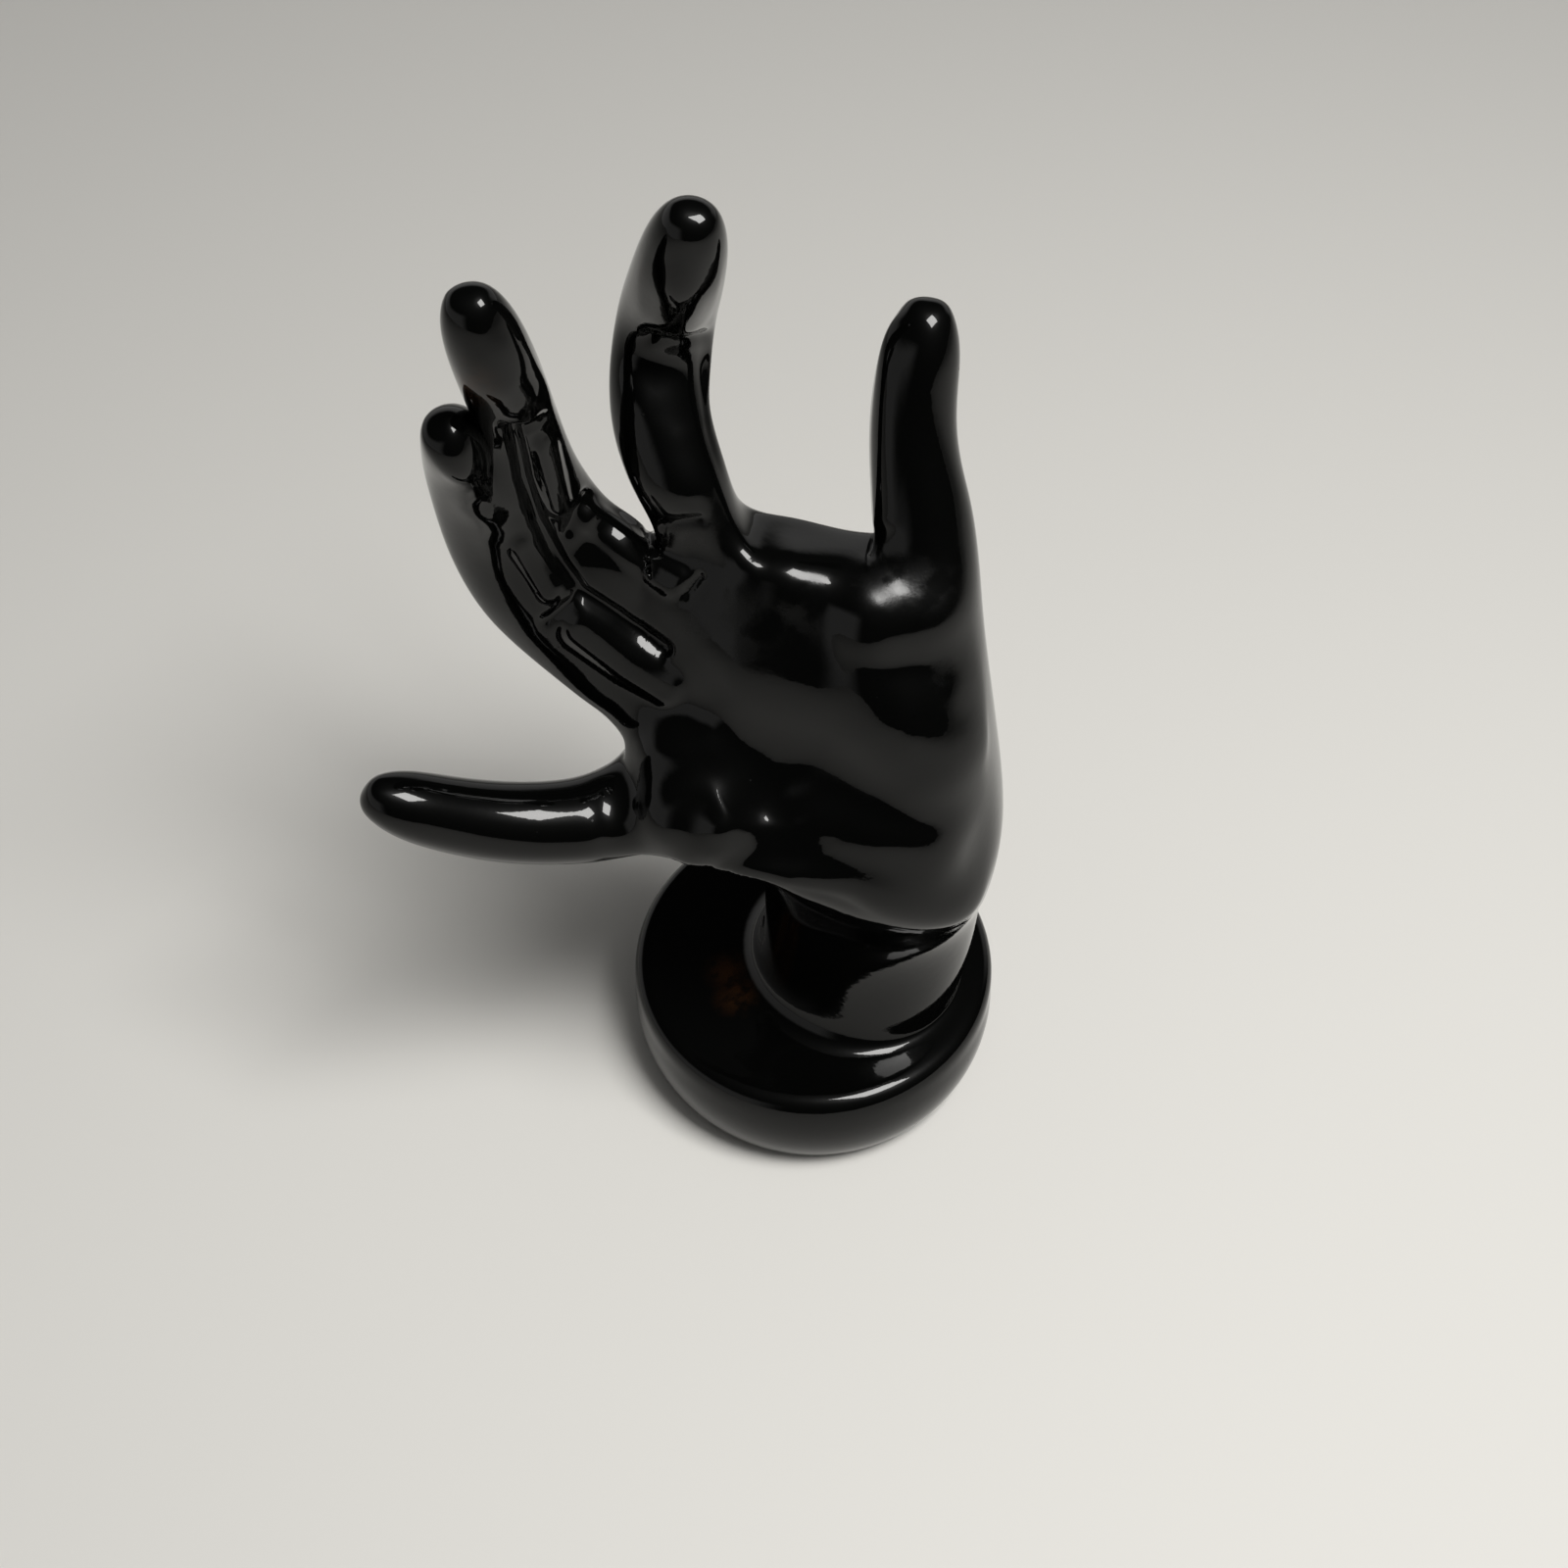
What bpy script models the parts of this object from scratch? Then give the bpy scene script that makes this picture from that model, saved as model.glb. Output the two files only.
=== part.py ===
"""Hand jewelry stand: one slip-cast ceramic piece, modelled as a subdivision surface.

A right hand stands on a round puck base, palm to the front (-Y), fingers spread to hang rings and
bracelets on. The control cage is box-modelled the way a sculptor blocks a hand: a palm slab, a wrist
and base extruded down from it, and each digit extruded out of the slab's edge. Its smooth surface is
then worked with strokes on the palm side: the ridge, the mounds, the pads and the creases.
Lengths are in millimetres in the tables and become metres where the cage is built.
The origin is the middle of the underside, +Z is up and +X is the thumb's side.
"""

import math

import bmesh
import bpy
import numpy as np
from mathutils import Vector

MM = 0.001
SUBDIVISIONS = 2
SETTLING_ROUNDS = 60

# Base: a puck a little longer front to back, with an upright side and a soft shoulder, narrower
# where it meets the table.
BASE_RADIUS = 26.3
BASE_LENGTHENED = 1.4
BASE_FOOT_RADIUS = 24.4
BASE_WIDEST_AT = 5.5
BASE_HEIGHT = 15.8
SHOULDER_RADIUS = 3.4
SHOULDER_DROP = 2.2
FOOT_EDGE = 1.0
FLAT_INSET = 3.0

# Wrist: a short round stem that rises from the base's right half.
WRIST_X = 8.0
WRIST_Y = -1.5
WRIST_RADIUS = 14.6
WRIST_FILLET = 3.0
WRIST_FOOT_X = 4.8
HEEL_CREASE_AT = 35.5
HEEL_CREASE_WIDTH = 30.5
HEEL_CREASE_DEPTH = 24.5
HEEL_CREASE_Y = -1.0

# The hand's own tables are measured from a plane this far in front of the base's middle.
HAND_SETBACK = -1.0

# Palm slab: the rim, counter-clockwise from the little finger's lower corner as the front shows it.
# Each row is x, z, then y of the palm side and y of the back. The palm leans back as it rises.
RIM_BOTTOM = (
    (-12.0, 57.0, -16.5, 4.0),
    (-6.5, 56.0, -19.5, 9.0),
    (1.0, 54.0, -21.0, 12.0),
    (9.0, 51.0, -22.0, 13.5),
    (17.5, 46.5, -20.5, 12.5),
    (23.6, 41.5, -12.0, 9.0),
)
RIM_RIGHT = (
    (26.2, 46.7, -7.5, 8.5),
    (23.5, 63.5, -5.5, 10.0),
    (20.3, 82.1, -4.0, 10.0),
    (14.2, 87.8, -3.0, 9.5),
    (6.6, 91.0, -1.5, 9.5),
    (2.0, 91.5, -0.5, 9.5),
    (-4.0, 92.3, -0.5, 9.5),
)
RIM_TOP = (
    (-8.9, 94.0, -0.5, 9.5),
    (-13.7, 94.9, 0.0, 10.5),
    (-19.2, 94.0, 0.5, 10.0),
    (-20.7, 91.4, 1.0, 9.5),
    (-20.7, 86.4, 0.0, 10.5),
)
RIM_LEFT = (
    (-22.2, 80.0, -0.5, 10.0),
    (-25.0, 72.8, -2.0, 9.0),
    (-25.8, 66.8, -4.0, 6.0),
    (-23.6, 62.9, -8.5, 2.5),
    (-21.0, 59.0, -15.5, -1.0),
    (-17.5, 56.5, -14.0, 0.0),
)
BACK_CROWN = 4.0

# Digits: x, y, z of each section's middle, its width and its depth, from the root out to the tip.
INDEX_FINGER = (
    (-16.0, 5.5, 100.5, 11.2, 11.7),
    (-18.4, 9.0, 105.8, 11.7, 11.5),
    (-18.6, 11.6, 110.8, 11.8, 11.2),
    (-17.5, 15.0, 117.5, 11.3, 10.0),
    (-15.8, 9.0, 126.0, 10.5, 10.6),
    (-14.1, 4.5, 134.7, 9.1, 8.9),
)
THUMB = (
    (12.2, 6.0, 94.0, 12.5, 12.0),
    (11.1, 8.0, 99.4, 11.0, 11.1),
    (10.4, 10.4, 104.9, 10.2, 10.7),
    (10.7, 12.2, 110.6, 9.8, 10.2),
    (11.3, 13.1, 115.4, 9.0, 9.4),
)
LITTLE_FINGER = (
    (-26.8, -9.5, 58.4, 11.4, 11.5),
    (-34.0, -10.8, 58.8, 10.8, 10.8),
    (-41.0, -12.2, 61.0, 10.4, 10.2),
    (-47.0, -13.5, 64.4, 9.6, 9.4),
    (-51.2, -14.3, 67.3, 8.6, 8.6),
)
# The fused pair: the middle of both, the width over both and the depth. The joint creases are the
# shallower sections between the fuller pads.
FUSED_PAIR = (
    (-28.9, 4.5, 85.0, 25.4, 11.1),
    (-32.4, 6.0, 88.2, 23.8, 11.4),
    (-34.7, 6.8, 92.6, 21.0, 11.2),
    (-36.0, 5.5, 99.5, 18.6, 11.0),
    (-36.7, 3.0, 107.0, 16.8, 10.2),
)
FUSED_GROOVE = 2.4
MIDDLE_TIP = (
    (-34.2, 0.5, 119.0, 9.3, 9.9),
    (-35.5, -3.0, 129.6, 8.7, 8.8),
)
RING_TIP = (
    (-39.4, -1.5, 113.2, 8.7, 9.4),
)
TIP_DOME = 0.55
TIP_SHRINK = 0.52

# Forms of the palm side, each a stroke in the front view: the x and z of its turning points, its
# reach to either side and how far it stands out, or cuts in where that is negative.
STROKES = (
    # Ridge from the little finger to the heel.
    (((-15.0, 61.5), (-4.9, 62.0), (14.0, 57.0)), 4.8, 3.0),
    # Full upper palm, and the mounds at the roots of the thumb, the index and the little finger.
    (((-8.0, 79.0), (3.0, 78.0), (13.0, 68.0)), 7.5, 3.2),
    (((7.0, 87.0), (13.0, 87.5)), 4.0, 2.5),
    (((-15.5, 92.5), (-12.0, 92.0)), 4.5, 2.2),
    (((-16.3, 70.1), (-11.6, 64.5)), 4.5, 3.0),
    # Pads of the middle and ring fingers.
    (((-26.0, 97.2), (-18.0, 92.2)), 2.6, 1.0),
    (((-28.0, 84.3), (-20.0, 77.0)), 2.6, 1.0),
    (((-30.4, 111.0), (-29.2, 102.5)), 2.6, 1.0),
    (((-37.4, 101.5), (-33.5, 90.5)), 2.8, 1.0),
    # Channel between them.
    (((-33.8, 116.5), (-34.9, 98.0), (-27.8, 87.2), (-18.5, 79.8)), 2.2, -1.6),
    # Creases: the middle joints of the ring and middle fingers, the index finger's tip joint and
    # root, then the roots of the middle and ring fingers.
    (((-32.6, 82.2), (-29.4, 86.3)), 1.8, -0.5),
    (((-28.4, 97.7), (-26.0, 100.5)), 1.8, -0.5),
    (((-19.0, 120.2), (-12.5, 120.0)), 1.8, -0.4),
    (((-18.5, 98.2), (-13.8, 99.6)), 2.0, -0.8),
    (((-19.4, 96.0), (-14.2, 90.8)), 2.0, -1.2),
    (((-18.3, 75.6), (-23.2, 67.8)), 2.0, -1.2),
)
PALM_SIDE_FROM = 0.1
PALM_SIDE_FULL = 0.8

GLAZE_COLOUR = (0.006, 0.007, 0.006, 1.0)
GLAZE_ROUGHNESS = 0.08


def clear_scene():
    """Removes whatever the scene starts with."""
    for old in list(bpy.data.objects):
        bpy.data.objects.remove(old, do_unlink=True)


def glaze():
    """Gloss black glaze over the whole casting."""
    material = bpy.data.materials.new("black_glaze")
    material.use_nodes = True
    shader = material.node_tree.nodes["Principled BSDF"]
    shader.inputs["Base Color"].default_value = GLAZE_COLOUR
    shader.inputs["Roughness"].default_value = GLAZE_ROUGHNESS
    shader.inputs["Metallic"].default_value = 0.0
    return material


def reach(points_round):
    """How far out control points sit for a ring of so many to pass through radius 1 when smoothed."""
    return 1.0 / (2.0 / 3.0 + math.cos(2.0 * math.pi / points_round) / 3.0)


def relaxed(edges, across, up):
    """A sheet of control points between four edges: each inner point settles midway between its
    four neighbours, so the sheet stays inside the rim where the rim curves in."""
    bottom, top, left, right = edges
    sheet = [[left[j].lerp(right[j], i / across) for i in range(across + 1)] for j in range(up + 1)]
    sheet[0] = list(bottom)
    sheet[-1] = list(top)
    for _ in range(SETTLING_ROUNDS):
        for j in range(1, up):
            for i in range(1, across):
                around = sheet[j - 1][i] + sheet[j + 1][i] + sheet[j][i - 1] + sheet[j][i + 1]
                sheet[j][i] = around / 4
    return sheet


def palm_sheets():
    """Rows of control points of the palm side and of the back, from the one rim.

    The back is crowned by 16 u (1 - u) v (1 - v), which is 0 all along the rim and 1 in the middle.
    """
    rim = RIM_BOTTOM + RIM_RIGHT + RIM_TOP + RIM_LEFT
    across = len(RIM_BOTTOM) - 1
    up = len(RIM_RIGHT)
    bottom = rim[: across + 1]
    right = rim[across : across + up + 1]
    top = rim[across + up : 2 * across + up + 1][::-1]
    left = (rim[2 * across + up :] + rim[:1])[::-1]
    sheets = []
    for side, crown in ((2, 0.0), (3, BACK_CROWN)):
        edges = [[Vector((r[0], r[side], r[1])) for r in edge] for edge in (bottom, top, left, right)]
        sheet = relaxed(edges, across, up)
        for j in range(1, up):
            for i in range(1, across):
                u = i / across
                v = j / up
                sheet[j][i].y += crown * 16 * u * (1 - u) * v * (1 - v)
        sheets.append(sheet)
    return sheets


def rim_order(rows):
    """The outer points of a sheet, counter-clockwise from its lower left corner."""
    bottom = rows[0]
    right = [row[-1] for row in rows[1:]]
    top = rows[-1][-2::-1]
    left = [row[0] for row in rows[-2:0:-1]]
    return bottom + right + top + left


def palm_slab(cage, column):
    """The two sheets and the strip round their edge. Returns the strip's faces in rim order."""
    sheets = []
    for rows in palm_sheets():
        sheets.append([[cage.verts.new(point * MM) for point in row] for row in rows])
    front, back = sheets
    for rows, turned in ((front, False), (back, True)):
        for low, high in zip(rows, rows[1:]):
            for i in range(len(low) - 1):
                corners = [low[i], low[i + 1], high[i + 1], high[i]]
                cage.faces.new(corners[::-1] if turned else corners)
    front_rim = rim_order(front)
    back_rim = rim_order(back)
    strip = []
    count = len(front_rim)
    for k in range(count):
        front_rim[k][column] = k + 1
        back_rim[k][column] = -(k + 1)
        n = (k + 1) % count
        strip.append(cage.faces.new((front_rim[k], back_rim[k], back_rim[n], front_rim[n])))
    return strip


def section(slots, middle, along, width, depth):
    """Places one ring of control points: slots are rim numbers, positive on the palm side.

    The ring is an ellipse across the digit: columns go from one edge to the other, and the outer
    columns are shared by the palm side and the back.
    """
    across = Vector((0, 1, 0)).cross(along).normalized()
    backward = along.cross(across).normalized()
    columns = sorted({abs(s) for s in slots})
    size = reach(2 * len(columns))
    places = {}
    for s in slots:
        step = columns.index(abs(s))
        angle = math.pi * (step + 0.5) / len(columns)
        sideways = math.cos(angle) * width / 2 * size
        forward = math.sin(angle) * depth / 2 * size * (1 if s > 0 else -1)
        places[s] = middle + across * sideways - backward * forward
    return places


def extrude(cage, column, faces):
    """Extrudes a patch of faces and returns its new faces and its points by rim number."""
    edges = list({edge for face in faces for edge in face.edges})
    made = bmesh.ops.extrude_face_region(cage, geom=faces + edges)["geom"]
    new_faces = [item for item in made if isinstance(item, bmesh.types.BMFace)]
    points = {item[column]: item for item in made if isinstance(item, bmesh.types.BMVert)}
    return new_faces, points


def directions(middles, start):
    """The way the digit runs at each section, from the sections beside it."""
    line = [start] + middles
    return [
        (line[min(k + 1, len(line) - 1)] - line[k - 1]).normalized() for k in range(1, len(line))
    ]


def grow(cage, column, faces, sections, groove=0.0):
    """Grows a digit from a patch of the rim through its sections, with a groove down its back.

    Returns the last patch and the sections' middles.
    """
    start = sum((f.calc_center_median() for f in faces), Vector()) / len(faces) / MM
    middles = [Vector(s[:3]) for s in sections]
    for row, middle, along in zip(sections, middles, directions(middles, start)):
        faces, points = extrude(cage, column, faces)
        places = section(list(points), middle, along, row[3], row[4])
        columns = sorted({abs(s) for s in points})
        middle_of_back = -columns[len(columns) // 2]
        for s, point in points.items():
            place = places[s]
            if s == middle_of_back:
                place = place + (middle - place).normalized() * groove
            point.co = place * MM
    return faces, middles


def close_tip(cage, column, faces, sections, middles):
    """Rounds a digit off with one small last ring."""
    along = (middles[-1] - middles[-2]).normalized()
    width, depth = sections[-1][3:]
    faces, points = extrude(cage, column, faces)
    middle = middles[-1] + along * width * TIP_DOME
    for s, place in section(list(points), middle, along, width * TIP_SHRINK, depth * TIP_SHRINK).items():
        points[s].co = place * MM


def digit(cage, column, faces, sections):
    """Grows one free finger or the thumb, up to its rounded tip."""
    faces, middles = grow(cage, column, faces, sections)
    close_tip(cage, column, faces, sections, middles)


def fused_fingers(cage, column, faces):
    """Middle and ring finger leave the palm as one, and part only at their tips."""
    faces, middles = grow(cage, column, faces, FUSED_PAIR, FUSED_GROOVE)
    order = sorted(faces, key=lambda f: min(abs(v[column]) for v in f.verts))
    for tip_faces, sections in ((order[:2], MIDDLE_TIP), (order[2:], RING_TIP)):
        tip, tip_middles = grow(cage, column, tip_faces, sections)
        start = middles[-1] if len(tip_middles) == 1 else tip_middles[-2]
        close_tip(cage, column, tip, sections, [start, tip_middles[-1]])


def held_radius(radius, above, below):
    """Control radius of a turned ring that keeps its radius when the rings by it smooth it."""
    return (6 * radius - above - below) / 4


def wrist_and_base(cage, column, faces):
    """Extrudes the wrist down to the base and the base down to its flat foot."""
    top = BASE_RADIUS - SHOULDER_RADIUS
    upper_at = BASE_HEIGHT - SHOULDER_DROP
    upper = held_radius(BASE_RADIUS - FOOT_EDGE / 2, top, BASE_RADIUS)
    widest = held_radius(BASE_RADIUS, upper, BASE_FOOT_RADIUS)
    foot_edge = BASE_FOOT_RADIUS - FOOT_EDGE
    foot_flat = BASE_FOOT_RADIUS - FLAT_INSET
    fillet = WRIST_RADIUS + WRIST_FILLET / 2
    # Each ring: x, y, z of its middle, then its radius across and its radius front to back.
    rings = (
        (WRIST_X, HEEL_CREASE_Y, HEEL_CREASE_AT, HEEL_CREASE_WIDTH / 2, HEEL_CREASE_DEPTH / 2),
        (WRIST_X, WRIST_Y, BASE_HEIGHT + WRIST_FILLET, WRIST_RADIUS, WRIST_RADIUS),
        (WRIST_FOOT_X, WRIST_Y, BASE_HEIGHT, fillet, fillet),
        (0.0, 0.0, BASE_HEIGHT, top, top + BASE_LENGTHENED),
        (0.0, 0.0, upper_at, upper, upper + BASE_LENGTHENED),
        (0.0, 0.0, BASE_WIDEST_AT, widest, widest + BASE_LENGTHENED),
        (0.0, 0.0, FOOT_EDGE, BASE_FOOT_RADIUS, BASE_FOOT_RADIUS + BASE_LENGTHENED),
        (0.0, 0.0, 0.0, foot_edge, foot_edge + BASE_LENGTHENED),
        (0.0, 0.0, 0.0, foot_flat, foot_flat + BASE_LENGTHENED),
    )
    down = Vector((0, 0, -1))
    for x, y, z, across, deep in rings:
        faces, points = extrude(cage, column, faces)
        places = section(list(points), Vector((x, y, z)), down, 2 * across, 2 * deep)
        for s, point in points.items():
            point.co = places[s] * MM


def smoothed(stand):
    """Replaces the cage by its smooth surface, so that strokes can be cut into that."""
    smooth = stand.modifiers.new("smooth_casting", "SUBSURF")
    smooth.levels = SUBDIVISIONS
    smooth.render_levels = SUBDIVISIONS
    evaluated = stand.evaluated_get(bpy.context.evaluated_depsgraph_get())
    cage = stand.data
    stand.data = bpy.data.meshes.new_from_object(evaluated)
    stand.modifiers.clear()
    bpy.data.meshes.remove(cage)


def raised(front_view):
    """How far the strokes raise each point of the front view: a bell across each stroke's line."""
    total = np.zeros(len(front_view))
    for turns, width, height in STROKES:
        nearest = np.full(len(front_view), np.inf)
        for start, end in zip(np.array(turns), np.array(turns[1:])):
            line = end - start
            along = np.clip((front_view - start) @ line / (line @ line), 0.0, 1.0)
            away = np.linalg.norm(front_view - start - along[:, None] * line, axis=1)
            nearest = np.minimum(nearest, away)
        total += height * np.exp(-((nearest / width) ** 2))
    return total


def cut_strokes(stand):
    """Moves the palm side's points along their normals by the strokes' height."""
    mesh = stand.data
    count = len(mesh.vertices)
    points = np.empty(3 * count)
    normals = np.empty(3 * count)
    mesh.vertices.foreach_get("co", points)
    mesh.vertex_normals.foreach_get("vector", normals)
    points = points.reshape(-1, 3)
    normals = normals.reshape(-1, 3)
    facing = (-normals[:, 1] - PALM_SIDE_FROM) / (PALM_SIDE_FULL - PALM_SIDE_FROM)
    facing = np.clip(facing, 0.0, 1.0)
    height = raised(points[:, (0, 2)] / MM) * facing * MM
    points += normals * height[:, None]
    mesh.vertices.foreach_set("co", points.ravel())
    mesh.update()


def hand_stand():
    """The whole casting as one object."""
    mesh = bpy.data.meshes.new("hand_stand")
    cage = bmesh.new()
    column = cage.verts.layers.int.new("rim_column")
    strip = palm_slab(cage, column)
    # Edges of the rim, counted from its lower left corner.
    wrist_edges = strip[1:5]
    thumb_edges = strip[8:10]
    index_edges = strip[13:15]
    pair_edges = strip[16:20]
    little_edges = strip[21:23]
    digit(cage, column, thumb_edges, THUMB)
    digit(cage, column, index_edges, INDEX_FINGER)
    fused_fingers(cage, column, pair_edges)
    digit(cage, column, little_edges, LITTLE_FINGER)
    bmesh.ops.translate(cage, verts=cage.verts, vec=(0.0, HAND_SETBACK * MM, 0.0))
    wrist_and_base(cage, column, wrist_edges)
    bmesh.ops.recalc_face_normals(cage, faces=cage.faces)
    cage.to_mesh(mesh)
    cage.free()
    stand = bpy.data.objects.new("hand_stand", mesh)
    bpy.context.scene.collection.objects.link(stand)
    mesh.materials.append(glaze())
    smoothed(stand)
    cut_strokes(stand)
    stand.data.shade_smooth()
    return stand


clear_scene()
hand_stand()
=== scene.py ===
# %% [markdown]
# # A glazed hand on a round base
# The stand is one slip-cast piece of earthenware under a gloss black glaze. The CAD model has its
# main shape in about twelve thousand facets, and this lesson dresses it: a finer skin, the soft
# forms of the palm and the fingers' pads, the glaze, and the light that a mirror-like black needs
# to be seen at all.
# Everything is in metres, with the middle of the underside at the origin and the palm facing -Y.

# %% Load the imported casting
import math

import bmesh
import bpy
import numpy as np
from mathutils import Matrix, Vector


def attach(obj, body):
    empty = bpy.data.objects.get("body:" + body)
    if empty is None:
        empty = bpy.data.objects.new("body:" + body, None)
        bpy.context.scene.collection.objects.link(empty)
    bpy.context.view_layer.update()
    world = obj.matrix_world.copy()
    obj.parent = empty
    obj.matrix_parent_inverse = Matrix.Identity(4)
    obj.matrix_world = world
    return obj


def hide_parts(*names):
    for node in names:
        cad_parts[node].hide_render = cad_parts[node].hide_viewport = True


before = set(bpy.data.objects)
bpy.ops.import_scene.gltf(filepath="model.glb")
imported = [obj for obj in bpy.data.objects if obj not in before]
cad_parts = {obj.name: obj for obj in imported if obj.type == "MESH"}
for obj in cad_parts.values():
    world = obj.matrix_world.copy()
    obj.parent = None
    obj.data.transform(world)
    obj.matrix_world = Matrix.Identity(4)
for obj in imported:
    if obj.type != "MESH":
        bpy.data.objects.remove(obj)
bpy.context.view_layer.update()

MM = 0.001
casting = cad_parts["hand_stand"]

# %% [markdown]
# ## The camera
# The photograph looks down on the palm from in front. Its angle and its lens were worked out
# beforehand, from how fast lengths along the table shrink with depth and from the round base, whose
# circle shows as an ellipse. A camera could be aimed by eye or by a Track To constraint, but one
# angle says it all: a camera in Blender looks along its own -Z, so a turn about X by 90 degrees less
# the tilt aims it.

# %% Place the camera
PHOTO_SIDE = 1600
FOCAL_PIXELS = 2050
SENSOR_WIDTH = 36.0
CAMERA_TILT = math.radians(49.38)
CAMERA_PLACE = (-0.0043, -0.1724, 0.2538)
CLIP_START = 0.01

camera_data = bpy.data.cameras.new("photo_camera")
camera_data.sensor_width = SENSOR_WIDTH
camera_data.lens = SENSOR_WIDTH * FOCAL_PIXELS / PHOTO_SIDE
camera_data.clip_start = CLIP_START
camera = bpy.data.objects.new("photo_camera", camera_data)
camera.location = CAMERA_PLACE
camera.rotation_euler = (math.pi / 2 - CAMERA_TILT, 0.0, 0.0)
bpy.context.scene.collection.objects.link(camera)
bpy.context.scene.camera = camera
print("lens", round(camera_data.lens, 2), "mm")

# %% [markdown]
# ## The light
# A black glaze shows almost nothing but reflections, so the light is the picture. Its highlights tell
# of one window, high on the front right, with a soft glow round it, and its dull parts of a dim room
# that is paler to the left and behind. A picture of a real room wrapped round the scene would do, but
# a lamp and a formula are easier to turn and to tune. The window is a square area lamp, near enough
# for the table to darken away from it. The glow is a lobe in the world's strength, a power of the
# cosine of the angle to the window, and a pale band along the horizon stands for the paler sides.

# %% Hang the window
WINDOW_AZIMUTH = math.radians(52)
WINDOW_HEIGHT = math.radians(62)
WINDOW_DISTANCE = 0.55
WINDOW_SIDE = 0.22
WINDOW_WATTS = 3.2
LIGHT_COLOUR = (1.0, 0.99, 0.97)
LIT_POINT = Vector((-0.01, 0.0, 0.08))
towards_window = Vector((
    math.cos(WINDOW_HEIGHT) * math.sin(WINDOW_AZIMUTH),
    -math.cos(WINDOW_HEIGHT) * math.cos(WINDOW_AZIMUTH),
    math.sin(WINDOW_HEIGHT),
))

window_data = bpy.data.lights.new("window", "AREA")
window_data.shape = "SQUARE"
window_data.size = WINDOW_SIDE
window_data.energy = WINDOW_WATTS
window_data.color = LIGHT_COLOUR
window = bpy.data.objects.new("window", window_data)
window.location = LIT_POINT + towards_window * WINDOW_DISTANCE
window.rotation_euler = towards_window.to_track_quat("Z", "Y").to_euler()
bpy.context.scene.collection.objects.link(window)
print("window at", [round(v, 3) for v in window.location])


# %% Wire nodes
def add_node(tree, kind, **settings):
    """A new node in a tree, with its settings given by name."""
    node = tree.nodes.new(kind)
    for name, value in settings.items():
        setattr(node, name, value)
    return node


def feed(tree, node, *values):
    """Gives a node's inputs their values in order, each a socket to link or a number."""
    for socket, value in zip(node.inputs, values):
        if isinstance(value, bpy.types.NodeSocket):
            tree.links.new(value, socket)
        else:
            socket.default_value = value
    return node.outputs[0]


def arithmetic(tree, operation, *values):
    """The output of a Math node on two or three values."""
    return feed(tree, add_node(tree, "ShaderNodeMath", operation=operation), *values)


def eased(tree, value, start, end, low=0.0, high=1.0):
    """A value taken from low to high as it goes from start to end, easing in and out."""
    node = add_node(tree, "ShaderNodeMapRange", interpolation_type="SMOOTHSTEP")
    return feed(tree, node, value, start, end, low, high)


print("node helpers ready")

# %% Colour the room by direction
ROOM_DARK = 0.02
BAND_PALE = 0.50
BAND_TOP = (0.30, 0.50)  # The band fades out between these rises of the direction.
DARK_SIDE = (0.75, -0.66, 0.0)
DARK_END = (0.10, 0.45)  # It fades out between these cosines to the dark side too.
GLOWS = ((2.4, 30.0), (0.25, 5.0))  # Each: the strength, the tightness.


def room_world():
    """The room: dark, with a pale band to the left and behind, and the window's glow.

    Band: pale where the direction is low and points away from the dark side, front and right.
    Glow: the sum of strength * cosine^tightness, with the cosine taken from the window's direction.
    """
    world = bpy.data.worlds.new("room")
    world.use_nodes = True
    tree = world.node_tree
    direction = add_node(tree, "ShaderNodeTexCoord").outputs["Generated"]
    parts = add_node(tree, "ShaderNodeSeparateXYZ")
    tree.links.new(direction, parts.inputs[0])
    towards_dark = add_node(tree, "ShaderNodeVectorMath", operation="DOT_PRODUCT")
    tree.links.new(direction, towards_dark.inputs[0])
    towards_dark.inputs[1].default_value = DARK_SIDE
    aside = eased(tree, towards_dark.outputs["Value"], *DARK_END, 1.0, 0.0)
    low = eased(tree, parts.outputs["Z"], *BAND_TOP, 1.0, 0.0)
    band = arithmetic(tree, "MULTIPLY", arithmetic(tree, "MULTIPLY", aside, low), BAND_PALE)
    light = arithmetic(tree, "ADD", band, ROOM_DARK)
    cosine = add_node(tree, "ShaderNodeVectorMath", operation="DOT_PRODUCT")
    tree.links.new(direction, cosine.inputs[0])
    cosine.inputs[1].default_value = towards_window
    ahead = arithmetic(tree, "MAXIMUM", cosine.outputs["Value"], 0.0)
    for strength, tightness in GLOWS:
        lobe = arithmetic(tree, "MULTIPLY", arithmetic(tree, "POWER", ahead, tightness), strength)
        light = arithmetic(tree, "ADD", light, lobe)
    background = tree.nodes["Background"]
    background.inputs["Color"].default_value = (*LIGHT_COLOUR, 1.0)
    tree.links.new(light, background.inputs["Strength"])
    return world


bpy.context.scene.world = room_world()
bpy.context.scene.view_settings.view_transform = "Standard"
print("room: band", BAND_PALE, "elsewhere", ROOM_DARK)

# %% [markdown]
# ## The table top
# A plain pale board that lies a hair under the foot. It runs far back and to both sides, but its
# front edge is near, because past that edge there is no table left for the glaze to mirror: the
# surfaces that lean back see over it into the dark room, and that is where their black begins.

# %% Lay the table top
TABLE_SPAN = (-6.0, 6.0)
TABLE_DEPTH = (-0.55, 9.0)
TABLE_DROP = 0.0001
TABLE_COLOUR = (0.72, 0.71, 0.68, 1.0)
TABLE_ROUGHNESS = 0.7


def plain_material(name, colour, roughness):
    """A matt material of one colour, for the stage only."""
    material = bpy.data.materials.new(name)
    material.use_nodes = True
    shader = material.node_tree.nodes["Principled BSDF"]
    shader.inputs["Base Color"].default_value = colour
    shader.inputs["Roughness"].default_value = roughness
    return material


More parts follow.
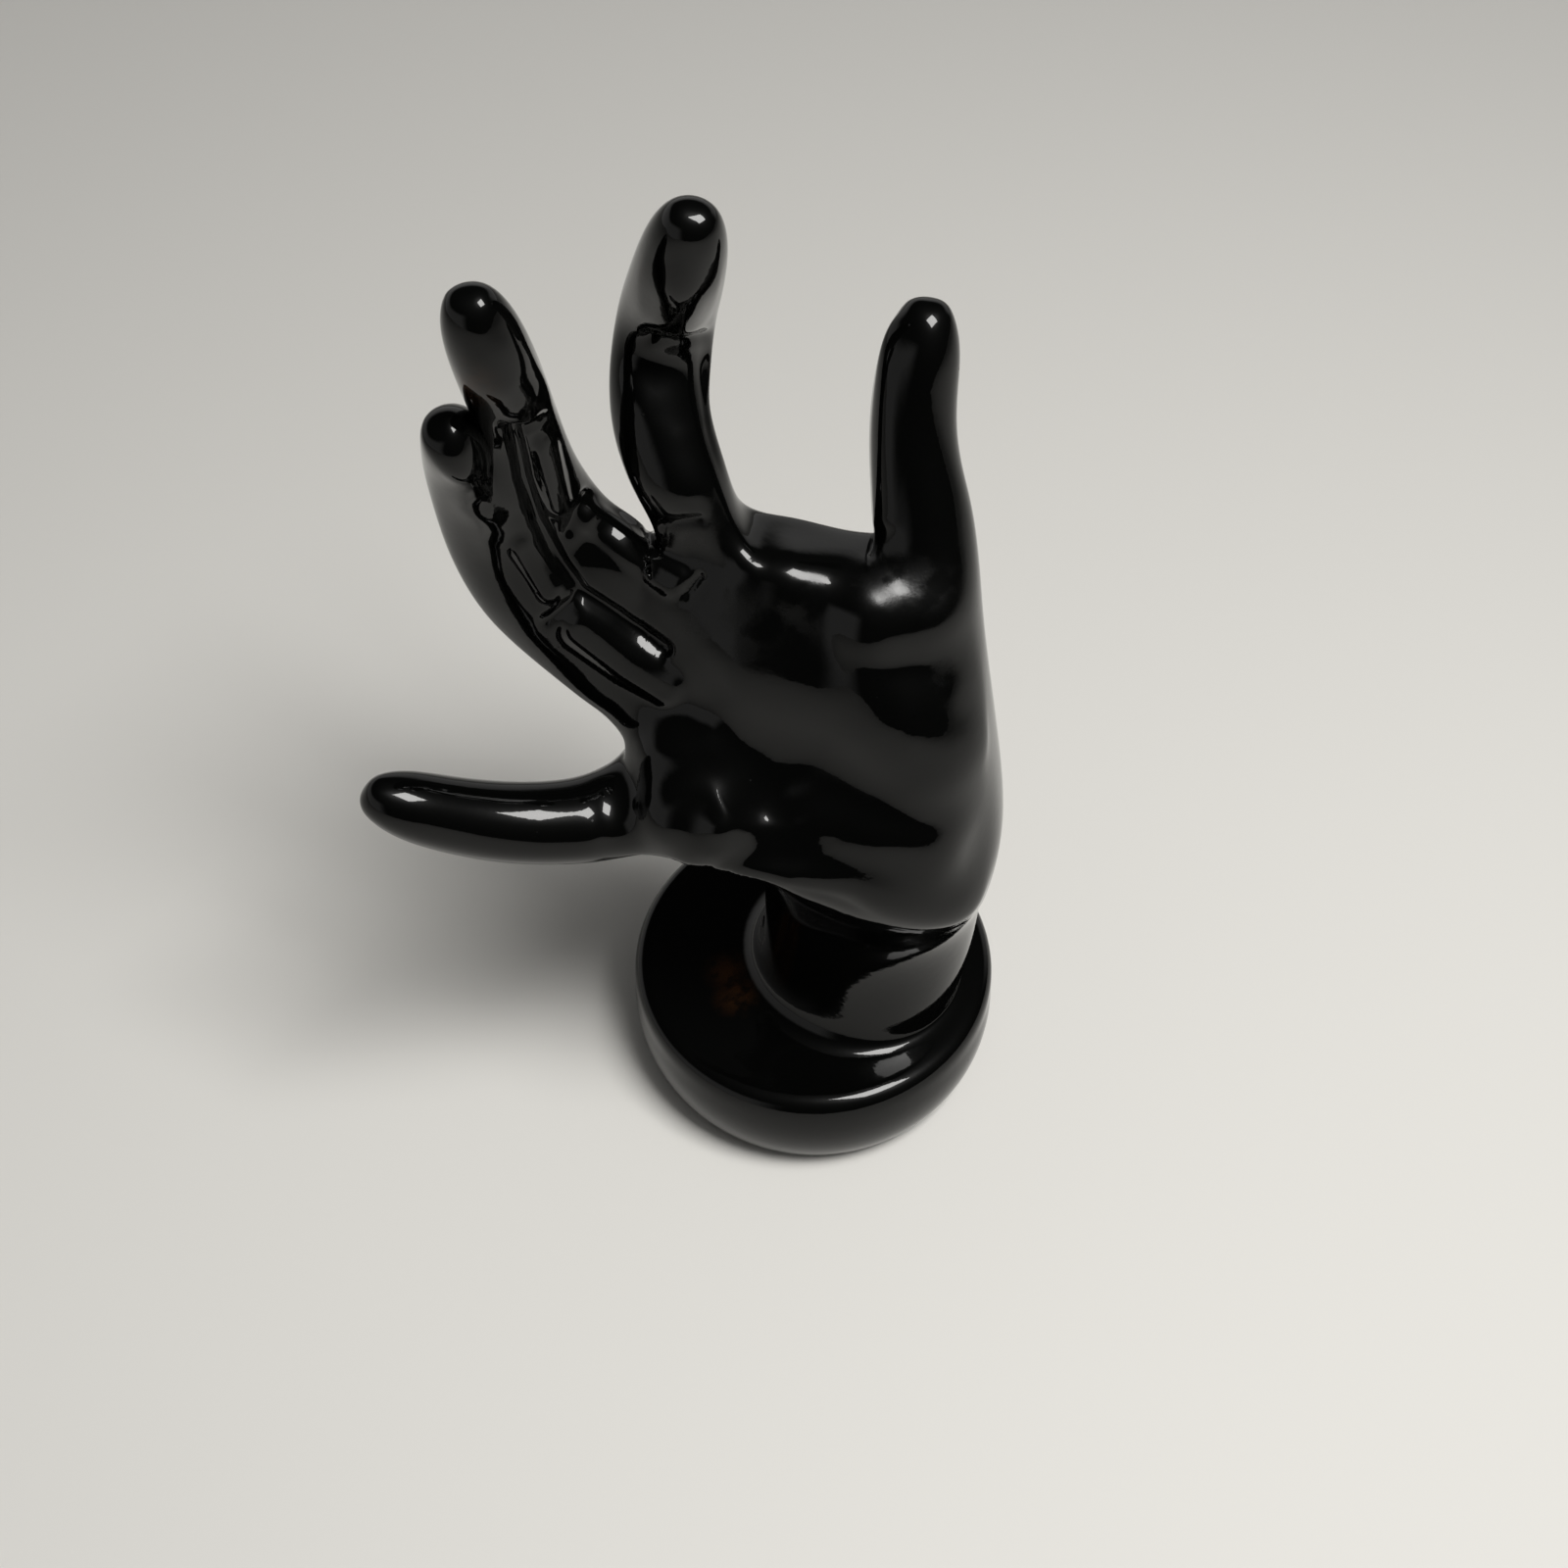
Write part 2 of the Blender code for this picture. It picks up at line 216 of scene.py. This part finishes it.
def flat_sheet(name, span, depth, height):
    """A flat rectangle at one height: span is its ends in x, depth its ends in y."""
    corners = [(x, y, height) for y, across in zip(depth, (span, span[::-1])) for x in across]
    mesh = bpy.data.meshes.new(name)
    mesh.from_pydata(corners, [], [(0, 1, 2, 3)])
    sheet = bpy.data.objects.new(name, mesh)
    bpy.context.scene.collection.objects.link(sheet)
    return sheet


table = flat_sheet("table_top", TABLE_SPAN, TABLE_DEPTH, -TABLE_DROP)
table.data.materials.append(plain_material("pale_table", TABLE_COLOUR, TABLE_ROUGHNESS))
print("table from", TABLE_DEPTH[0], "to", TABLE_DEPTH[1], "m")

# %% [markdown]
# ## A finer skin
# The CAD solid keeps its facets few, and a mirror shows every facet. Smooth shading alone would hide
# them in the middle of the hand but not along its outline, so the skin is a finer copy: the solid's
# loose triangles are welded and paired back into the quads they came from, which subdivide evenly
# where triangles would pucker.

# %% Copy the casting as quads
WELD = 1e-6
FLAT_ENOUGH = math.radians(40)  # Two triangles bent by more than this stay apart,
SQUARE_ENOUGH = math.radians(60)  # and so do two whose quad has a corner further off square.


def welded_quads(node, name):
    """A copy of a node's mesh with its loose triangles welded and paired back into quads."""
    shell = bmesh.new()
    shell.from_mesh(node.data)
    bmesh.ops.remove_doubles(shell, verts=shell.verts, dist=WELD)
    bmesh.ops.join_triangles(
        shell,
        faces=shell.faces,
        angle_face_threshold=FLAT_ENOUGH,
        angle_shape_threshold=SQUARE_ENOUGH,
    )
    mesh = bpy.data.meshes.new(name)
    shell.to_mesh(mesh)
    quads = sum(len(face.verts) == 4 for face in shell.faces)
    print("welded:", len(shell.verts), "points,", quads, "quads of", len(shell.faces), "faces")
    shell.free()
    skin = bpy.data.objects.new(name, mesh)
    bpy.context.scene.collection.objects.link(skin)
    return skin


glazed_hand = welded_quads(casting, "glazed_hand")

# %% [markdown]
# ## Working in the photograph's frame
# The forms that follow were seen in the photograph, so their places are given in its pixels, and the
# skin's points are projected into it through the same camera. Placing them in millimetres on the
# curved palm would take a guess for each. Two weights keep the work where it belongs: it fades out
# where the skin turns away from the camera, which leaves the outline alone, and below the wrist,
# where the hand hides part of the base.

# %% Read and write a mesh as whole arrays
def points_of(mesh):
    """All points of a mesh as an n by 3 array."""
    flat = np.empty(3 * len(mesh.vertices))
    mesh.vertices.foreach_get("co", flat)
    return flat.reshape(-1, 3)


def normals_of(mesh):
    """The unit normals at all points of a mesh as an n by 3 array."""
    flat = np.empty(3 * len(mesh.vertices))
    mesh.vertex_normals.foreach_get("vector", flat)
    return flat.reshape(-1, 3)


def put_points(mesh, points):
    """Moves all points of a mesh to the rows of an n by 3 array."""
    mesh.vertices.foreach_set("co", points.ravel())
    mesh.update()


print("points:", len(points_of(glazed_hand.data)))

# %% Project the skin into the photograph
HAND_BEGINS = (0.032, 0.042)  # Heights in m: no carving below the first, all of it above the last.


def seen_at(points):
    """Where the camera sees each point, in pixels of the photograph from its top left corner.

    With the point's place relative to the camera split into right, up and depth, the pixel is
    the frame's middle + focal length * (right, -up) / depth.
    """
    right, away, rise = (points - np.array(CAMERA_PLACE)).T
    depth = away * math.cos(CAMERA_TILT) - rise * math.sin(CAMERA_TILT)
    up = away * math.sin(CAMERA_TILT) + rise * math.cos(CAMERA_TILT)
    middle = PHOTO_SIDE / 2
    return np.column_stack([middle + FOCAL_PIXELS * right / depth, middle - FOCAL_PIXELS * up / depth])


def facing_camera(points, normals):
    """The cosine between each point's normal and the line from it to the camera."""
    sight = np.array(CAMERA_PLACE) - points
    sight /= np.linalg.norm(sight, axis=1)[:, None]
    return np.einsum("ij,ij->i", normals, sight)


def eased_between(value, low, high):
    """0 below low, 1 above high, and 3 t^2 - 2 t^3 in between."""
    t = np.clip((value - low) / (high - low), 0.0, 1.0)
    return t * t * (3.0 - 2.0 * t)


def front_of_hand(points, normals, fade):
    """1 on the hand's skin that faces the camera, 0 on its sides, its back and the base."""
    facing = eased_between(facing_camera(points, normals), *fade)
    return facing * eased_between(points[:, 2], *HAND_BEGINS)


seen = seen_at(points_of(glazed_hand.data))
print("seen between", seen.min(axis=0).round(), "and", seen.max(axis=0).round(), "pixels")

# %% [markdown]
# ## Rubbing down
# The solid has joints and pads of its own, a little off the real ones. Before the fine forms are cut,
# these places are rubbed smooth, as a mould maker scrapes a model down before carving afresh. A
# Smooth modifier with a vertex group would do the same. Here each round moves a point halfway to the
# mean of its neighbours, and more rounds wipe out wider forms, such as the fold at the little
# finger's root.

# %% Rub the carved places smooth
RUBBED_FADE = (0.0, 0.3)
RUBBED_CORE = 0.6  # The share of its reach over which a patch is rubbed in full.
RUBBED = (
    # Each: the path in pixels, its reach in pixels, the rounds of rubbing.
    ([(520, 400), (556, 500), (592, 560), (655, 620), (690, 655)], 42.0, 16),
    ([(535, 560), (600, 650), (650, 700)], 34.0, 16),
    ([(620, 520), (670, 560), (706, 600)], 34.0, 16),
    ([(694, 290), (694, 400)], 42.0, 16),
    ([(680, 545), (730, 560)], 34.0, 16),
    ([(690, 700), (716, 706)], 34.0, 24),
    ([(668, 744), (668, 866)], 60.0, 60),
)


def distance_to_path(places, path):
    """The distance from each place to the nearest point of a path of straight legs."""
    nearest = np.full(len(places), np.inf)
    for start, end in zip(path, path[1:]):
        leg = np.subtract(end, start)
        share = np.clip((places - start) @ leg / (leg @ leg), 0.0, 1.0)
        nearest = np.minimum(nearest, np.linalg.norm(places - start - share[:, None] * leg, axis=1))
    return nearest


def rubbed(mesh, patches):
    """Moves points halfway to the mean of their neighbours, round by round, patch by patch."""
    points = points_of(mesh)
    facing = front_of_hand(points, normals_of(mesh), RUBBED_FADE)
    places = seen_at(points)
    ends = np.empty(2 * len(mesh.edges), dtype=np.int64)
    mesh.edges.foreach_get("vertices", ends)
    ends = np.concatenate([ends.reshape(-1, 2), ends.reshape(-1, 2)[:, ::-1]])
    count = np.bincount(ends[:, 0], minlength=len(points))
    for path, reach, rounds in patches:
        away = distance_to_path(places, path)
        share = facing * (1.0 - eased_between(away, reach * RUBBED_CORE, reach))
        for _ in range(rounds):
            total = np.zeros_like(points)
            np.add.at(total, ends[:, 0], points[ends[:, 1]])
            points += 0.5 * share[:, None] * (total / count[:, None] - points)
    put_points(mesh, points)


rubbed(glazed_hand.data, RUBBED)
print("rubbed", len(RUBBED), "patches")

# %% [markdown]
# ## Halving the facets
# Catmull and Clark's rule cuts every quad in four and eases the points towards a smooth surface. Two
# halvings bring a facet to about half a millimetre, finer than the narrowest crease. The result is
# applied to the mesh, because the next steps move its points.

# %% Halve the facets twice
HALVINGS = 2


def refined(skin, halvings):
    """Replaces a skin's mesh by its Catmull-Clark subdivision."""
    halving = skin.modifiers.new("halving", "SUBSURF")
    halving.levels = halvings
    halving.render_levels = halvings
    coarse = skin.data
    evaluated = skin.evaluated_get(bpy.context.evaluated_depsgraph_get())
    fine = bpy.data.meshes.new_from_object(evaluated)
    skin.modifiers.clear()
    skin.data = fine
    bpy.data.meshes.remove(coarse)
    fine.name = skin.name


refined(glazed_hand, HALVINGS)
print("skin:", len(glazed_hand.data.vertices), "points,", len(glazed_hand.data.polygons), "faces")

# %% [markdown]
# ## The palm
# The real palm is a shallow dish between the ball of the thumb, the heel of the hand and the ridge
# that runs in from the little finger. Black glaze gives no shading to see that by, but the border
# between mirrored table and mirrored dark moves with the slope, so each mound and hollow was placed by
# where that border should run. They could be sculpted. A stroke is simpler to write down: a path in
# pixels, round which the skin rises or sinks along its normal by
# height * exp(-(distance / reach)^(2 * flatness)). A flatness of 1 gives a round ridge.

# %% Carve along paths
CARVED_FADE = (0.1, 0.45)


def carved(mesh, strokes):
    """Raises or cuts the skin by height * exp(-(d / reach)^(2 flatness)) along each stroke."""
    points = points_of(mesh)
    normals = normals_of(mesh)
    places = seen_at(points)
    total = np.zeros(len(points))
    for path, reach, height, flatness in strokes:
        away = distance_to_path(places, path)
        total += height * np.exp(-((away / reach) ** (2.0 * flatness)))
    total *= front_of_hand(points, normals, CARVED_FADE)
    put_points(mesh, points + normals * (total * MM)[:, None])
    return total


print("carving fades over", CARVED_FADE)

# %% Shape the palm
PALM_FORMS = (
    # Each: the path in pixels, its reach in pixels, its height in mm, its flatness.
    # Hollow at the roots of the index and the middle finger, and the swell beside it.
    ([(704, 572), (732, 588)], 36.0, -1.7, 1.0),
    ([(806, 592), (880, 604)], 46.0, 2.0, 1.0),
    ([(758, 650), (860, 655)], 42.0, 1.0, 1.0),
    # Ball of the thumb.
    ([(914, 736), (944, 786)], 60.0, 2.0, 1.0),
    ([(896, 692), (960, 698)], 34.0, 0.9, 1.0),
    # Hollow under the ring finger's root.
    ([(676, 718), (700, 726)], 30.0, -0.9, 1.0),
    # Middle of the palm, where the little finger's ridge starts.
    ([(738, 812), (782, 818)], 34.0, -1.6, 1.0),
    ([(782, 846), (842, 868), (856, 926)], 38.0, -1.3, 1.0),
    # Mound under the little finger and heel of the hand.
    ([(676, 836), (704, 866)], 30.0, 0.9, 1.0),
    ([(960, 892), (976, 912)], 36.0, 1.0, 1.0),
)

height = carved(glazed_hand.data, PALM_FORMS)
print("palm shaped from", round(height.min(), 2), "to", round(height.max(), 2), "mm")

# %% [markdown]
# ## The pads and creases
# Each finger of the real casting has a flat pad on every bone, standing out of the finger like a
# lozenge, and a narrow channel parts the two fused fingers. Separate patches could be joined on, but
# their seams would show in the gloss. The same strokes do it here, with a flatness of 2 for the pads,
# which gives a flat top with sloping sides, and a few pixels of reach for the creases.

# %% Carve the fine forms
CHANNEL = [(524, 440), (534, 490), (550, 535), (573, 578), (592, 606), (630, 630), (676, 664)]
FINE_FORMS = (
    # Each: the path in pixels, its reach in pixels, its height in mm, its flatness.
    # Fuller tips of the middle and the ring finger.
    ([(516, 389), (528, 402)], 32.0, 1.5, 1.0),
    ([(474, 488), (480, 496)], 26.0, 0.7, 1.0),
    # Pads of the middle finger, then of the ring finger.
    ([(557, 455), (563, 480), (571, 515)], 12.0, 0.7, 2.0),
    ([(606, 530), (650, 565), (686, 592)], 16.0, 0.8, 2.0),
    ([(534, 560), (550, 585), (560, 602)], 12.0, 0.6, 2.0),
    ([(592, 642), (640, 678), (680, 702)], 17.0, 0.8, 2.0),
    # Channel between the two.
    (CHANNEL, 8.0, -1.2, 1.5),
    # Creases across the middle finger's joints and the ring finger's.
    ([(514, 433), (534, 434), (552, 425)], 5.0, -0.6, 1.0),
    ([(580, 542), (590, 522), (602, 503)], 6.0, -0.6, 1.0),
    ([(558, 634), (572, 624), (584, 614)], 6.0, -0.6, 1.0),
    # Creases where the two fingers and the index finger meet the palm.
    ([(700, 606), (713, 590)], 5.0, -0.7, 1.0),
    ([(676, 537), (716, 531)], 5.0, -0.6, 1.0),
    # Index finger: the full pad of its tip, the joint below it and the long flat under that.
    ([(695, 296), (694, 322)], 31.0, 1.7, 1.0),
    ([(662, 345), (694, 344), (726, 342)], 9.0, -0.9, 1.0),
    ([(668, 374), (724, 374)], 30.0, -0.9, 1.0),
    ([(684, 450), (718, 450)], 50.0, -0.5, 1.0),
    # Squarer side of the thumb.
    ([(906, 330), (903, 430), (902, 530)], 14.0, 0.55, 1.0),
    # The palm's right side, beside the ball of the thumb.
    ([(935, 748), (985, 752)], 32.0, 0.6, 1.0),
    # Mound at the little finger's root.
    ([(668, 770), (676, 840)], 26.0, 1.0, 1.0),
    ([(698, 772), (706, 800)], 40.0, 1.5, 1.0),
)

height = carved(glazed_hand.data, FINE_FORMS)
print("carved from", round(height.min(), 2), "to", round(height.max(), 2), "mm")

# %% [markdown]
# ## The base's shoulder
# The round base of the real casting turns from its top to its side in a tighter curve than the solid
# has. A Bevel modifier can't tighten a curve that is there already. Raising the skin by a bell round
# one circle does, and the circle is all that it takes to say where.

# %% Square the base's shoulder
SHOULDER_AT = (24.6, 13.6)  # Its radius and its height, in mm as the next two are.
SHOULDER_REACH = 1.8
SHOULDER_RAISE = 0.9


def squared(mesh, at, reach, height):
    """Raises the skin by height * exp(-(d / reach)^2), d from a circle of radius and height at."""
    points = points_of(mesh)
    normals = normals_of(mesh)
    around = np.hypot(points[:, 0], points[:, 1]) / MM
    away = np.hypot(around - at[0], points[:, 2] / MM - at[1])
    raised = height * np.exp(-((away / reach) ** 2))
    put_points(mesh, points + normals * (raised * MM)[:, None])
    return raised


raised = squared(glazed_hand.data, SHOULDER_AT, SHOULDER_REACH, SHOULDER_RAISE)
print("shoulder raised by up to", round(raised.max(), 2), "mm")

# %% [markdown]
# ## The glaze
# On the real object the glaze is a thin layer of black glass over clay: nearly all of what shows is
# the reflection at its surface. A Principled shader with an almost black base and low roughness
# gives that. What tells it from plastic is in the details, and each of them is a mask that varies
# over Object coordinates: an orange peel everywhere, a clouded grain where the glaze pooled at the
# roots of the fingers and dried matt, pinholes, and a brown tinge at two places on the fingers, where
# the layer ran thin, and at two spots on the base's top. A painted map could hold them all, but it
# would need a flat unwrapping of the hand. The clouds and the tinted places are lists of spots,
# because they sit at a few places and not all over, as a kiln leaves its clouds, and noise breaks up
# their outlines.

# %% Place the clouds and the tinted spots
CLOUDED = (
    # Each: the place in mm, its reach in mm.
    ((-15.3, -1.4, 97.2), 8.0),
    ((7.1, -2.4, 91.3), 8.0),
    ((12.5, -2.8, 92.4), 8.0),
    ((-8.9, -4.6, 86.5), 9.0),
    ((-2.0, -3.4, 88.5), 8.0),
    ((-15.9, -3.2, 85.1), 8.0),
    ((14.4, -6.0, 81.3), 7.0),
)
TINTED_SPOTS = (
    # Where the glaze ran thin: the notch between the middle and the ring fingertip, and the index
    # finger's edge.
    ((-37.0, -6.3, 124.0), 5.0),
    ((-21.5, 2.0, 131.0), 4.0),
    # Two brown spots on the base's top.
    ((-12.5, -4.0, 15.8), 4.5),
    ((-11.0, -8.5, 15.8), 4.5),
)


def nearness(tree, place, spots):
    """1 at any spot of a list and 0 past its reach, easing in between."""
    nearest = 0.0
    for spot, reach in spots:
        distance = add_node(tree, "ShaderNodeVectorMath", operation="DISTANCE")
        tree.links.new(place, distance.inputs[0])
        distance.inputs[1].default_value = [value * MM for value in spot]
        near = eased(tree, distance.outputs["Value"], 0.0, reach * MM, 1.0, 0.0)
        nearest = arithmetic(tree, "MAXIMUM", near, nearest)
    return nearest


def noise(tree, place, scale, detail):
    """The grey output of a Noise texture at a place, about 0.3 to 0.7."""
    texture = add_node(tree, "ShaderNodeTexNoise")
    tree.links.new(place, texture.inputs["Vector"])
    texture.inputs["Scale"].default_value = scale
    texture.inputs["Detail"].default_value = detail
    return texture.outputs["Fac"]


def pinholes(tree, place, scale, size, rarity):
    """1 inside a few small dots: Voronoi cells whose random red passes rarity, near their middle."""
    cells = add_node(tree, "ShaderNodeTexVoronoi")
    tree.links.new(place, cells.inputs["Vector"])
    cells.inputs["Scale"].default_value = scale
    chance = add_node(tree, "ShaderNodeSeparateColor")
    tree.links.new(cells.outputs["Color"], chance.inputs["Color"])
    chosen = arithmetic(tree, "GREATER_THAN", chance.outputs["Red"], rarity)
    dots = eased(tree, cells.outputs["Distance"], size * 0.5, size, 1.0, 0.0)
    return arithmetic(tree, "MULTIPLY", dots, chosen)


print("clouds:", len(CLOUDED), "thin spots:", len(TINTED_SPOTS))

# %% Mix the black glaze
GLAZE_BLACK = (0.0012, 0.0013, 0.0012, 1.0)
GLAZE_BROWN = (0.022, 0.009, 0.003, 1.0)
GLAZE_IOR = 1.34
GLOSS = 0.05
CLOUD_ROUGHNESS = 0.34
PIT_ROUGHNESS = 0.4
CLOUD_NOISE = (260.0, 5.0)  # Each noise: its scale per m, its detail.
STREAK_NOISE = (420.0, 3.0)
GRAIN_NOISE = (2600.0, 2.0)
PEEL_NOISE = (700.0, 2.0)
CLOUD_EDGES = (0.34, 0.62)  # Each pair of edges: the noise where a patch starts and is full.
STREAK_EDGES = (0.30, 0.60)
PINHOLES = (260.0, 0.055, 0.72)  # Cells per m, the size of a dot in cells, the rarity.
GRAIN_HEIGHT = 1.6  # In shares of the peel's height, as is the next.
PIT_DEPTH = 3.0
BUMP_STRENGTH = 0.06
BUMP_DISTANCE = 0.0002


def black_glaze():
    """Black glass over clay.

    Roughness: gloss + cloud * cloud roughness + pit * pit roughness.
    Bump: peel + cloud * grain - pits. Colour: black, mixed with brown at the tinted spots.
    """
    material = bpy.data.materials.new("black_glaze")
    material.use_nodes = True
    tree = material.node_tree
    shader = tree.nodes["Principled BSDF"]
    shader.inputs["IOR"].default_value = GLAZE_IOR
    place = add_node(tree, "ShaderNodeTexCoord").outputs["Object"]

    patches = eased(tree, noise(tree, place, *CLOUD_NOISE), *CLOUD_EDGES)
    cloud = arithmetic(tree, "MULTIPLY", nearness(tree, place, CLOUDED), patches)
    streaks = eased(tree, noise(tree, place, *STREAK_NOISE), *STREAK_EDGES)
    tinted = arithmetic(tree, "MULTIPLY", nearness(tree, place, TINTED_SPOTS), streaks)
    pits = pinholes(tree, place, *PINHOLES)
    grain = arithmetic(tree, "MULTIPLY", noise(tree, place, *GRAIN_NOISE), cloud)

    # A colour Mix has its factor at input 0, its two colours at 6 and 7, and its result at output 2.
    colour = add_node(tree, "ShaderNodeMix", data_type="RGBA")
    tree.links.new(tinted, colour.inputs[0])
    colour.inputs[6].default_value = GLAZE_BLACK
    colour.inputs[7].default_value = GLAZE_BROWN
    tree.links.new(colour.outputs[2], shader.inputs["Base Color"])

    clouded = arithmetic(tree, "MULTIPLY_ADD", cloud, CLOUD_ROUGHNESS, GLOSS)
    roughness = arithmetic(tree, "MULTIPLY_ADD", pits, PIT_ROUGHNESS, clouded)
    tree.links.new(roughness, shader.inputs["Roughness"])

    height = arithmetic(tree, "MULTIPLY_ADD", grain, GRAIN_HEIGHT, noise(tree, place, *PEEL_NOISE))
    height = arithmetic(tree, "MULTIPLY_ADD", pits, -PIT_DEPTH, height)
    bump = add_node(tree, "ShaderNodeBump")
    bump.inputs["Strength"].default_value = BUMP_STRENGTH
    bump.inputs["Distance"].default_value = BUMP_DISTANCE
    tree.links.new(height, bump.inputs["Height"])
    tree.links.new(bump.outputs["Normal"], shader.inputs["Normal"])
    return material


glazed_hand.data.materials.clear()
glazed_hand.data.materials.append(black_glaze())
glazed_hand.data.shade_smooth()
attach(glazed_hand, "root")
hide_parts("hand_stand")
print("glazed:", glazed_hand.name)
